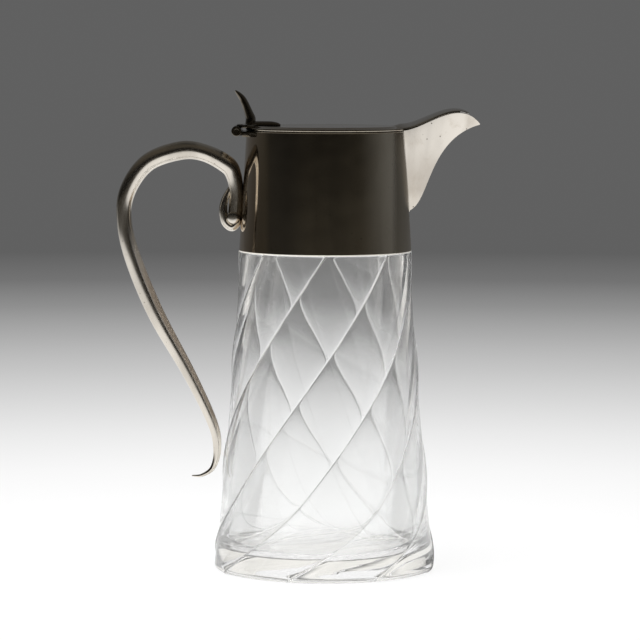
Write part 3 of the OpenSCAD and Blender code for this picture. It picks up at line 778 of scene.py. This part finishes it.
def beak_surface(v, u, w, inset):
    """Side walls of the spout at shares u along and w across, drawn in by inset, twice at the keel.

    A line runs from lip to keel. At a share d down it the wall stands off the middle by the half
    width times (1 - d to the bow) to the 0.9. Below u = 0 it runs straight back into the collar.
    """
    lip, keel, _ = beak_curves(v)
    inset = np.asarray(inset) + 0 * u
    along = np.maximum(u, 0)
    slope = bezier(keel, np.minimum(along + 0.02, 1)) - bezier(keel, np.maximum(along - 0.02, 0))
    slope /= np.linalg.norm(slope, axis=1)[:, None]
    back = np.stack([np.minimum(u, 0) * 10, 0 * u], axis=-1)
    top = bezier(lip, along) + back
    low = bezier(keel, along) + back + np.stack([-slope[:, 1], slope[:, 0]], axis=-1) * inset[:, None] * 2
    down = 1 - np.abs(w)[None, :] ** 1.3
    half = np.maximum(beak_half(v, u) - inset, 0.12)[:, None]
    at = top[:, None, :] + (low - top)[:, None, :] * down[..., None]
    y = np.sign(w)[None, :] * half * (1 - down ** v.spout_bow) ** 0.9
    return np.stack([at[..., 0], y, at[..., 1]], axis=-1)


class JUG_OT_collar(bpy.types.Operator):
    """Silver collar, open behind the spout, and the wire round its mouth"""

    bl_idname = "jug.collar"
    bl_label = "Collar"

    def execute(self, context):
        v = sizes()
        section = rounded([[v.collar_low_r, v.collar_z], [v.collar_top_r, v.collar_top],
                           [v.collar_top_r - v.sheet, v.collar_top], [v.collar_low_r - v.sheet, v.collar_z]],
                          0.10)
        collar = add_piece("collar_sleeve", revolved(section, 256), "jug",
                           finish("silver_collar"), ["collar"], 30)
        # The spout's inside, with a roof over it, is cut out of the sleeve
        w = np.linspace(-1, 1, 33)
        u = np.concatenate([[-1.0], np.linspace(0, 0.93, 24)])
        walls = beak_surface(v, u, w, v.sheet)
        roof = walls[:, [-1, 0], :] + [0, 0, v.spout_arch]
        opening = put_in_scene("opening", mesh_of("opening", tube(np.concatenate([walls, roof], axis=1))))
        cut = collar.modifiers.new("opening", "BOOLEAN")
        cut.operation, cut.solver, cut.object = "DIFFERENCE", "EXACT", opening
        make_real(collar, 30)
        bpy.data.objects.remove(opening)
        if len(collar.data.polygons) < 1000:
            raise RuntimeError("the collar's opening could not be cut")

        bead = v.wire_h / 2
        out = v.collar_top_r + v.wire_out - bead
        a = np.linspace(-0.5 * math.pi, 0.5 * math.pi, 13)
        half_round = np.stack([out + bead * np.cos(a), v.collar_top + bead + bead * np.sin(a)], axis=-1)
        inside = [[v.collar_top_r - v.sheet + 0.1, v.rim_top], [v.collar_top_r - v.sheet, v.rim_top - 0.1],
                  [v.collar_top_r - v.sheet, v.collar_top]]
        wire = np.vstack([half_round, inside])
        stop = math.asin(v.spout_half / v.collar_top_r) + 0.004
        a = np.linspace(stop, 2 * math.pi - stop, 240)[:, None]
        rings = np.stack([wire[:, 0] * np.cos(a), wire[:, 0] * np.sin(a), wire[:, 1] + 0 * a], axis=-1)
        # The wire's finish is silver darkened as painted shade under the lid's edge
        add_piece("mouth_wire", tube(rings), "jug", finish("silver_dull"), ["rim_wire"])
        return {"FINISHED"}


class JUG_OT_spout(bpy.types.Operator):
    """Beak spout: a sheet that runs from the collar out to a drawn-up tip"""

    bl_idname = "jug.spout"
    bl_label = "Spout"

    def execute(self, context):
        v = sizes()
        w = np.linspace(-1, 1, 61)
        u = np.concatenate([[-0.06, -0.03], np.linspace(0, 1, 90) ** 0.9])
        # The sheet thins to 0.4 of itself over the last quarter
        sheet = v.sheet * (1 - 0.6 * np.clip((u - 0.75) / 0.25, 0, 1))
        outer = beak_surface(v, u, w, 0.0)
        inner = beak_surface(v, u, w, sheet)
        seam = cord(beak_surface(v, np.zeros(1), w, -0.1)[0], v.seam / 2)
        add_piece("spout_beak", joined(shell(outer, inner), seam), "jug",
                  finish("silver_spout"), ["spout"], 50)
        return {"FINISHED"}


class JUG_OT_handle(bpy.types.Operator):
    """Looped handle bar with its curled tail, and the scroll at its lower end on the collar"""

    bl_idname = "jug.handle"
    bl_label = "Handle"

    def execute(self, context):
        v = sizes()
        seat = v.handle_root / 2 - v.handle_seat
        tail = v.handle_tail / 2 + v.handle_gap
        stations = []
        # Up the collar: share of its height below its top, share of the root's size, extra distance
        for depth, size, extra in ((0.785, 0.5, 0), (0.77, 0.85, 0), (0.73, 1, 0), (0.52, 1.03, 0),
                                   (0.37, 1.17, 2)):
            z, r = v.collar_top - depth * v.collar_h, size * v.handle_root / 2
            stations.append([-(side_r(v, z) + seat + extra), z, r, r])
        # Round the arch and down: shares of the handle's drop, of its reach and of the bar's size
        for drop, reach, size in ((0.098, 0.155, 0.99), (0.066, 0.35, 0.94), (0.06, 0.557, 1.01),
                                  (0.095, 0.83, 0.96), (0.174, 0.985, 0.9), (0.26, 1, 0.82),
                                  (0.37, 0.905, 0.9), (0.53, 0.68, 0.9), (0.706, 0.352, 0.7),
                                  (0.845, 0.122, 0.56)):
            z, r = v.rim_top - drop * v.handle_drop, size * v.handle_d / 2
            stations.append([-(side_r(v, z) + reach * v.handle_reach), z, r, r])
        # The tail: share of the drop, extra distance from the glass, share of the tail's size
        for drop, extra, size in ((0.92, 0, 1), (0.975, 1.4, 0.64), (0.998, 6.8, 0.4), (1, 12, 0.2)):
            z, r = v.rim_top - drop * v.handle_drop, size * v.handle_tail / 2
            stations.append([-(side_r(v, z) + tail + extra), z, r, r])
        sides = 48
        skin = bar(stations, 14, sides)
        piece = add_piece("handle_bar", skin, "jug", finish("silver_handle"),
                          ["handle"], 60)
        # 1 on the side that faces into the handle's loop, -1 outside, 0 at the middles of the ends
        inside = np.cos(np.linspace(0, 2 * math.pi, sides, endpoint=False))
        values = np.concatenate([np.tile(inside, len(skin[0]) // sides), [0, 0]])
        piece.data.attributes.new("inside", "FLOAT", "POINT").data.foreach_set("value", values)

        low = v.collar_top - 0.806 * v.collar_h
        stations = []
        # The scroll from its curl upwards: shares of its height, reach, thickness and width
        for up, out, thick, wide in ((0.34, 0.22, 0.9, 0.8), (0.13, 0.22, 1.05, 0.95), (0, 0.46, 1, 1),
                                     (0.1, 0.8, 1, 1), (0.3, 0.96, 1, 0.95), (0.48, 1, 0.95, 0.85),
                                     (0.67, 0.93, 0.8, 0.7), (0.85, 0.79, 0.55, 0.5), (1, 0.68, 0.2, 0.2)):
            z = low + up * v.scroll_h
            stations.append([-(side_r(v, z) + out * v.scroll_out), z, thick * v.scroll_t / 2,
                             wide * v.scroll_w / 2])
        boss_z = low + 0.23 * v.scroll_h
        boss = (-(side_r(v, boss_z) + 0.43 * v.scroll_out), boss_z)
        half, wide = 0.5 * v.scroll_w, v.scroll_boss / 2
        a = np.linspace(0, 0.5 * math.pi, 9)[1:]
        cheek = np.stack([wide * np.cos(a[::-1]) ** 0.8, half + 0.9 * np.sin(a[::-1])], axis=-1)
        cheek[:, 0] = np.maximum(cheek[:, 0], 0.05)
        section = np.vstack([cheek, [[wide, half], [wide, 0], [wide, -half]],
                             cheek[::-1] * [1, -1], [[0.05, 0]]])
        curl = joined(bar(stations, 12, 40), revolved(section, 48, "Y", boss))
        add_piece("handle_scroll_curl", curl, "jug", finish("silver_handle"),
                  ["handle_scroll"], 60)
        return {"FINISHED"}


class JUG_OT_lid(bpy.types.Operator):
    """Lid: a disc with a raised middle, and the arched tongue that roofs the spout"""

    bl_idname = "jug.lid"
    bl_label = "Lid"

    def execute(self, context):
        v = sizes()

        def rise(r):
            """Cosine slope from the flat margin up to the flat middle."""
            t = np.clip((v.lid_r - v.lid_margin - r) / v.lid_slope, 0, 1)
            return v.lid_raise * (1 - np.cos(math.pi * t)) / 2

        inner = v.lid_r - v.lid_margin - v.lid_slope
        r = np.concatenate([np.linspace(0.02, 0.97, 9) * inner,
                            np.linspace(inner, inner + v.lid_slope, 16), [v.lid_r - 1.6]])
        # Of the edge's outline only its two outer corners are used
        edge = rounded([[v.lid_r - 1, v.lid_z], [v.lid_r, v.lid_z], [v.lid_r, v.lid_top],
                        [v.lid_r - 1, v.lid_top]], 0.42)[8:20]
        profile = np.vstack([
            np.stack([r, v.lid_z + rise(r)], axis=-1), edge,
            np.stack([r, v.lid_top + rise(r)], axis=-1)[::-1]])
        a = np.linspace(0, 2 * math.pi, 240, endpoint=False)[None, :]
        rings = np.stack([profile[:, :1] * np.cos(a), profile[:, :1] * np.sin(a),
                          profile[:, 1:] + 0 * a], axis=-1)
        disc = tube(rings)

        lip, _, root_x = beak_curves(v)
        tip = v.collar_top_r + v.spout_reach
        end = 1 - v.tongue_short / (3 * (tip - lip[2][0]))
        share = np.concatenate([np.linspace(0, 0.9, 44), 1 - 0.1 * np.linspace(1, 0.04, 14)[1:] ** 2])
        at = bezier(lip, share * end)
        half = (beak_half(v, share * end) + v.tongue_over) * np.sqrt(1 - share ** 8)
        crown = v.tongue_crown * (1 - share ** 3)
        back = np.linspace(0, 1, 14)[:-1]
        root = root_x - v.tongue_in
        at = np.vstack([np.stack([root + (root_x - root) * back, v.rim_top + 0 * back], axis=-1), at])
        swell = rise(root) + (v.tongue_crown - rise(root)) * (3 * back ** 2 - 2 * back ** 3)
        crown = np.concatenate([swell, crown])
        half = np.concatenate([np.full(len(back), v.spout_half + v.tongue_over), half])
        w = np.sin(np.linspace(-0.5 * math.pi, 0.5 * math.pi, 41))
        soft = np.minimum(0.3, half[:, None] / 2)
        lift = crown[:, None] * (1 - w ** 2)[None, :]
        fall = soft * np.abs(w) ** 24
        y = half[:, None] * w
        x = at[:, :1] + 0 * y
        # Over the lid the tongue's underside stays within the plate's thickness
        bed = v.lid_z + rise(np.hypot(x, y)) + np.where(x < root_x, 0.2, 0.0)
        under = np.maximum(at[:, 1:] + v.lid_gap + lift + fall, bed)
        over = np.maximum(at[:, 1:] + v.lid_gap + v.lid_t + lift - fall, under + 0.1)
        tongue = shell(np.stack([x, y, over], axis=-1), np.stack([x, y, under], axis=-1))
        add_piece("lid_and_tongue", joined(disc, tongue), "lid", finish("silver_lid"),
                  ["lid_plate", "lid_tongue"], 40)
        return {"FINISHED"}


class JUG_OT_thumbpiece(bpy.types.Operator):
    """Thumbpiece: a claw that leans back, with a long foot along the lid"""

    bl_idname = "jug.thumbpiece"
    bl_label = "Thumbpiece"

    def execute(self, context):
        v = sizes()
        claw_z, foot_z = v.lid_top + v.bearer_t, v.lid_top + v.lid_raise
        # The claw: distance in from the lid's edge, share of its height, half thickness, share of width
        claw = [[s[0] - v.lid_r, claw_z + s[1] * (v.thumb_h - v.bearer_t), s[2], s[3] * v.thumb_half]
                for s in ((2.4, 0, 2.7, 1), (2.55, 0.07, 2.7, 1), (2.7, 0.168, 2.75, 0.95),
                          (1.75, 0.32, 2.4, 0.85), (0.65, 0.478, 2.15, 0.75), (-0.55, 0.625, 2.0, 0.65),
                          (-1.8, 0.755, 1.75, 0.55), (-3.8, 0.886, 1.25, 0.42), (-5.6, 0.984, 0.5, 0.3))]
        path = through(claw, 10)
        upright = tube(ellipses(path, direction(path[:, :2]), 40))
        # The foot: shares of its length, of its thickness and of the width
        foot = through([[s[0] * v.thumb_foot - v.lid_r, s[1] * v.thumb_foot_t, s[2] * v.thumb_half]
                        for s in ((0.08, 1, 1), (0.3, 1, 0.95), (0.55, 1, 0.85), (0.75, 0.94, 0.7),
                                  (0.9, 0.7, 0.5), (0.99, 0.35, 0.3))], 8)
        b = np.linspace(0, math.pi, 25)[None, :]
        top = np.stack([foot[:, :1] + 0 * b, foot[:, 2:] * np.cos(b),
                        foot_z + foot[:, 1:2] * np.sin(b) ** 0.8], axis=-1)
        lying = tube(top)
        add_piece("thumbpiece_claw", joined(upright, lying), "lid", finish("silver_dark"),
                  ["thumbpiece"], 60)
        return {"FINISHED"}


class JUG_OT_hinge(bpy.types.Operator):
    """Hinge: five knuckles with softened edges on their pin, and the two bearers"""

    bl_idname = "jug.hinge"
    bl_label = "Hinge"

    def execute(self, context):
        v = sizes()
        pitch = v.hinge_len / 5
        nodes = ("collar_knuckle_front", "lid_knuckle_front", "collar_knuckle_centre",
                 "lid_knuckle_rear", "collar_knuckle_rear")
        for i, name in enumerate(nodes):
            body = "lid" if name.startswith("lid") else "jug"
            bore = v.pin_d / 2 + (0.05 if body == "lid" else 0.0)
            start = -v.hinge_len / 2 + i * pitch + v.knuckle_gap / 2
            section = rounded([[bore, start], [v.knuckle_d / 2, start],
                               [v.knuckle_d / 2, start + pitch - v.knuckle_gap],
                               [bore, start + pitch - v.knuckle_gap]], 0.3)
            skin = revolved(section, 64, "Y", (v.hinge_x, v.hinge_z))
            add_piece(name + "_barrel", skin, body, finish("silver_dark"), [name])
        for name, body in (("hinge_bearer", "jug"), ("lid_bearer", "lid")):
            piece = put_in_scene(name + "_soft", frame["nodes"][name].data.copy())
            weld = piece.modifiers.new("weld", "WELD")
            weld.merge_threshold = 1e-6
            flat = piece.modifiers.new("flat", "DECIMATE")
            flat.decimate_type, flat.angle_limit = "DISSOLVE", math.radians(1)
            edge = piece.modifiers.new("edge", "BEVEL")
            edge.width, edge.segments, edge.limit_method = 0.00022, 3, "ANGLE"
            edge.angle_limit = math.radians(35)
            make_real(piece, 50)
            settle(piece, body, finish("silver_dark"), [name])
        return {"FINISHED"}


class JUG_OT_kept_nodes(bpy.types.Operator):
    """Finishes for the construction's own pieces that stay: cement, pin and locating ring"""

    bl_idname = "jug.kept_nodes"
    bl_label = "Cement, pin and ring"

    def execute(self, context):
        for name, material in (("cement_ring", "cement"), ("hinge_pin", "silver_dark"),
                               ("lid_flange", "silver_plate")):
            node_object = frame["nodes"][name]
            for slot in node_object.material_slots:
                slot.material = finish(material)
        return {"FINISHED"}


# Stage

FLOOR_RADII = (0.4, 1.0, 2.0, 3.5, 5.5, 8.0)
FLOOR_SIDES = 96
FLOOR_CLEAR = 0.00005
# How the floor's painted pool of light fades out to FADE_REACH: the share of that distance, and
# what is left there of the near colour
FADE_REACH = 3.0
FLOOR_FADE = ((0.0, 1.0), (0.075, 0.97), (0.15, 0.89), (0.215, 0.79), (0.29, 0.65), (0.375, 0.50),
              (0.48, 0.34), (0.60, 0.18), (0.73, 0.06), (0.90, 0.0))
# The camera fitted to the photograph. Its focal length is in pixels of a picture 640 pixels wide
FOCAL_PIXELS, PICTURE_PIXELS, SENSOR = 3470.0, 640.0, 36.0
LOOK_DOWN, ROLL = 4.777, 0.169
CAMERA_AT = (-0.00267, -1.874, 0.2916)
LAMP_AIM = (0, 0, 0.12)


def floor_disc():
    """A round floor in rings, just clear of the jug's foot, its middle closed by a fan."""
    radii = np.array(FLOOR_RADII)[:, None]
    a = np.linspace(0, 2 * math.pi, FLOOR_SIDES, endpoint=False)[None, :]
    rings = np.stack([radii * np.cos(a), radii * np.sin(a), 0 * radii + 0 * a], axis=-1)
    points = np.vstack([rings.reshape(-1, 3), [[0, 0, 0]]])
    i = np.arange(FLOOR_SIDES)
    middle = np.stack([i, (i + 1) % FLOOR_SIDES, np.full(FLOOR_SIDES, len(points) - 1)], axis=-1)
    faces = ring_faces(len(FLOOR_RADII), FLOOR_SIDES)[:, ::-1].tolist() + middle.tolist()
    mesh = bpy.data.meshes.new("floor")
    mesh.from_pydata((points - [0, 0, FLOOR_CLEAR]).tolist(), [], faces)
    return mesh


def floor_finish(look):
    """Pale floor that fades into the backdrop's colour with the distance from the jug: a pool of light
    painted round the jug.

    Seen through the glass, the distance is how far back a spot lies less 0.6 of how far aside it
    is, and at least 0. In the metal's mirror the floor beside and in front gives way to the dim room.
    """
    near, far = np.array(look.near_floor), np.array(look.backdrop)
    material, tree, out = new_material("floor")
    camera, glossy, through_glass = ray_kinds(tree)
    x, y = place_axis(tree, 0), place_axis(tree, 1)
    place = node(tree, "ShaderNodeTexCoord", output=3)
    radius = node(tree, "ShaderNodeVectorMath", [place], output=1, operation="LENGTH")
    bent = (y - x.maths("ABSOLUTE") * 0.6).maths("MAXIMUM", 0.0)
    away = (radius + (bent - radius) * through_glass) / FADE_REACH
    stops = [(share, tuple(far + (near - far) * left)) for share, left in FLOOR_FADE]
    faded = node(tree, "ShaderNodeValToRGB", [away], stops=stops)
    off_paper = radius.between(0.75, 1.15) * (1 - y.between(0.0, 0.8))
    shown = mix_colour(tree, off_paper * glossy * (1 - through_glass), faded, look.room)
    glow = node(tree, "ShaderNodeEmission", {"Color": shown, "Strength": 1.0})
    plain = node(tree, "ShaderNodeBsdfDiffuse", {"Color": shown})
    seen = (camera + glossy + through_glass).clamped()
    near_share = 1 - away.between(0.12, 0.45)
    both = node(tree, "ShaderNodeMixShader",
                [seen * (1 - near_share * (1 - look.glow)), plain, glow])
    tree.links.new(both.socket, out.inputs["Surface"])
    return material


def room_light(look):
    """The world: what each kind of ray finds past the floor.

    The camera finds the backdrop. The metal finds a dim room in front, with a faint ceiling, and the
    backdrop behind. The glass finds bright paper, and the backdrop straight behind it. Any other ray
    finds an even grey.
    """
    far = np.array(look.backdrop)
    world = bpy.data.worlds.new("room")
    world.use_nodes = True
    tree = world.node_tree
    tree.nodes.clear()
    out = tree.nodes.new("ShaderNodeOutputWorld")
    direction = node(tree, "ShaderNodeTexCoord", output=0)
    axes = [node(tree, "ShaderNodeSeparateXYZ", [direction], output=n) for n in range(3)]
    up = axes[2].between(0.03, 0.11)
    ceiling = axes[2].between(0.30, 0.75) - axes[2].between(0.94, 1.0) * 0.8
    front = mix_colour(tree, up, look.room, look.upper_room)
    front = mix_colour(tree, ceiling, front, look.ceiling)
    behind = (axes[1] + axes[0] * 0.4).between(-0.45, 1.0)
    above = axes[2].between(0.02, 0.45) * 0.2
    rear = mix_colour(tree, above, tuple(far), tuple(far * 0.15))
    room = mix_colour(tree, behind, front, rear)
    straight = axes[1].between(0.78, 0.96) * (1 - axes[2].between(0.04, 0.14))
    aside = mix_colour(tree, straight, look.paper, tuple(far))
    camera, glossy, through_glass = ray_kinds(tree)
    ambient = (0.55, 0.55, 0.55)
    shown = mix_colour(tree, glossy, ambient, room)
    shown = mix_colour(tree, through_glass, shown, aside)
    shown = mix_colour(tree, camera, shown, tuple(far))
    back = node(tree, "ShaderNodeBackground", {"Color": shown, "Strength": 1.0})
    tree.links.new(back.socket, out.inputs["Surface"])
    return world


def soft_lamp(name, size, watts, place):
    """A round soft lamp aimed at the jug. Metal and glass don't mirror it."""
    lamp = bpy.data.lights.new(name, "AREA")
    lamp.shape, lamp.size, lamp.energy = "DISK", size, watts
    held = put_in_scene(name, lamp)
    held.location = place
    held.rotation_euler = (Vector(LAMP_AIM) - held.location).to_track_quat("-Z", "Y").to_euler()
    held.visible_glossy = False
    held.visible_transmission = False


def photo_camera():
    """The camera where the photograph was taken from: a long lens that looks slightly down."""
    lens = bpy.data.cameras.new("camera")
    lens.sensor_width, lens.lens = SENSOR, FOCAL_PIXELS / PICTURE_PIXELS * SENSOR
    lens.clip_start, lens.clip_end = 0.05, 50.0
    camera = put_in_scene("camera", lens)
    turned = (Matrix.Rotation(math.radians(90 - LOOK_DOWN), 4, "X")
              @ Matrix.Rotation(math.radians(ROLL), 4, "Z"))
    camera.matrix_world = Matrix.Translation(CAMERA_AT) @ turned
    return camera


class JUG_OT_stage(bpy.types.Operator):
    """Pale floor with a painted pool of light that darkens into the background, soft light and the camera"""

    bl_idname = "jug.stage"
    bl_label = "Stage"

    def execute(self, context):
        scene, look = context.scene, context.scene.jug_stage
        floor = put_in_scene("floor", floor_disc())
        floor.data.materials.append(floor_finish(look))
        scene.world = room_light(look)
        soft_lamp("key", 1.6, look.key, (-0.3, -0.2, 1.7))
        soft_lamp("fill", 1.2, look.fill, (-1.5, -1.1, 0.9))
        scene.camera = photo_camera()
        scene.view_settings.view_transform = "Standard"
        return {"FINISHED"}


class JUG_PT_panel(bpy.types.Panel):
    """Lists the pieces and their settings"""

    bl_label = "Claret jug"
    bl_idname = "JUG_PT_panel"
    bl_space_type = "VIEW_3D"
    bl_region_type = "UI"
    bl_category = "Jug"

    def draw(self, context):
        for operator in OPERATORS:
            self.layout.operator(operator.bl_idname)
        for group in (context.scene.jug_sizes, context.scene.jug_finish, context.scene.jug_stage):
            box = self.layout.box()
            for name in type(group).__annotations__:
                box.prop(group, name)


OPERATORS = (JUG_OT_glass_body, JUG_OT_collar, JUG_OT_spout, JUG_OT_handle, JUG_OT_lid,
             JUG_OT_thumbpiece, JUG_OT_hinge, JUG_OT_kept_nodes, JUG_OT_stage)
GROUPS = (JugSizes, JugFinish, StageLook)


def register():
    for cls in (*GROUPS, *OPERATORS, JUG_PT_panel):
        bpy.utils.register_class(cls)
    bpy.types.Scene.jug_sizes = bpy.props.PointerProperty(type=JugSizes)
    bpy.types.Scene.jug_finish = bpy.props.PointerProperty(type=JugFinish)
    bpy.types.Scene.jug_stage = bpy.props.PointerProperty(type=StageLook)


def unregister():
    for name in ("jug_sizes", "jug_finish", "jug_stage"):
        delattr(bpy.types.Scene, name)
    for cls in reversed((*GROUPS, *OPERATORS, JUG_PT_panel)):
        bpy.utils.unregister_class(cls)


def main():
    """Makes every piece and the stage."""
    register()
    bpy.ops.jug.glass_body()
    bpy.ops.jug.collar()
    bpy.ops.jug.spout()
    bpy.ops.jug.handle()
    bpy.ops.jug.lid()
    bpy.ops.jug.thumbpiece()
    bpy.ops.jug.hinge()
    bpy.ops.jug.kept_nodes()
    bpy.ops.jug.stage()
    bpy.context.view_layer.update()


if __name__ == "__main__":
    main()
